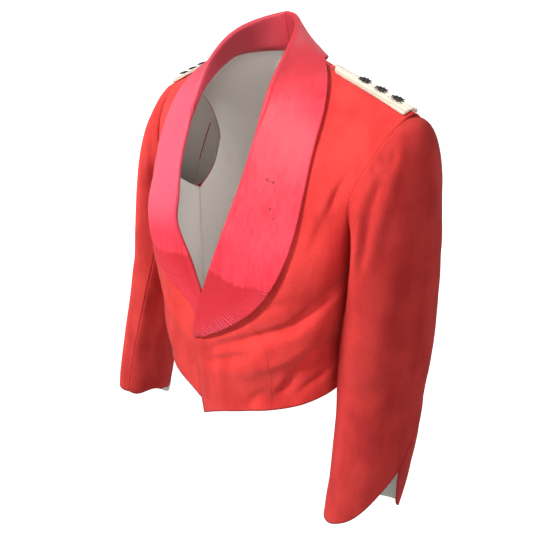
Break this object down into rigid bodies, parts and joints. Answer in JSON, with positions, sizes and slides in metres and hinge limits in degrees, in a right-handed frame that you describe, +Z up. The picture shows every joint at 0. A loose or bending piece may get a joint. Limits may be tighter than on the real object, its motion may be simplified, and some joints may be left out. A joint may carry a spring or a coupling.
{
  "type": "mess jacket",
  "caption": "Short fitted scarlet mess jacket with a wide satin shawl collar, pointed front, slit cuffs and corded shoulder straps with small stars, filled out as if worn.",
  "frame": {"origin": "centre of the neck base, level with the inner ends of the shoulder seams, where the wearer carries the jacket", "axes": "+X towards the wearer's left, -Y towards the front, +Z up"},
  "size_m": [0.5731, 0.2654, 0.6843],
  "materials": {
    "wool": "matt fine wool",
    "satin": "satin",
    "braid": "corded braid",
    "star_metal": "dull dark metal"
  },
  "bodies": {
    "root": {"front_left": "wool", "front_right": "wool", "back_left": "wool", "back_right": "wool", "sleeve_top_left": "wool", "sleeve_top_right": "wool", "sleeve_under_left": "wool", "sleeve_under_right": "wool", "collar_left": "satin", "collar_right": "satin", "shoulder_strap_left": "braid", "shoulder_strap_right": "braid", "rank_star_left_1": "star_metal", "rank_star_left_2": "star_metal", "rank_star_left_3": "star_metal", "rank_star_right_1": "star_metal", "rank_star_right_2": "star_metal", "rank_star_right_3": "star_metal"}
  },
  "joints": []
}
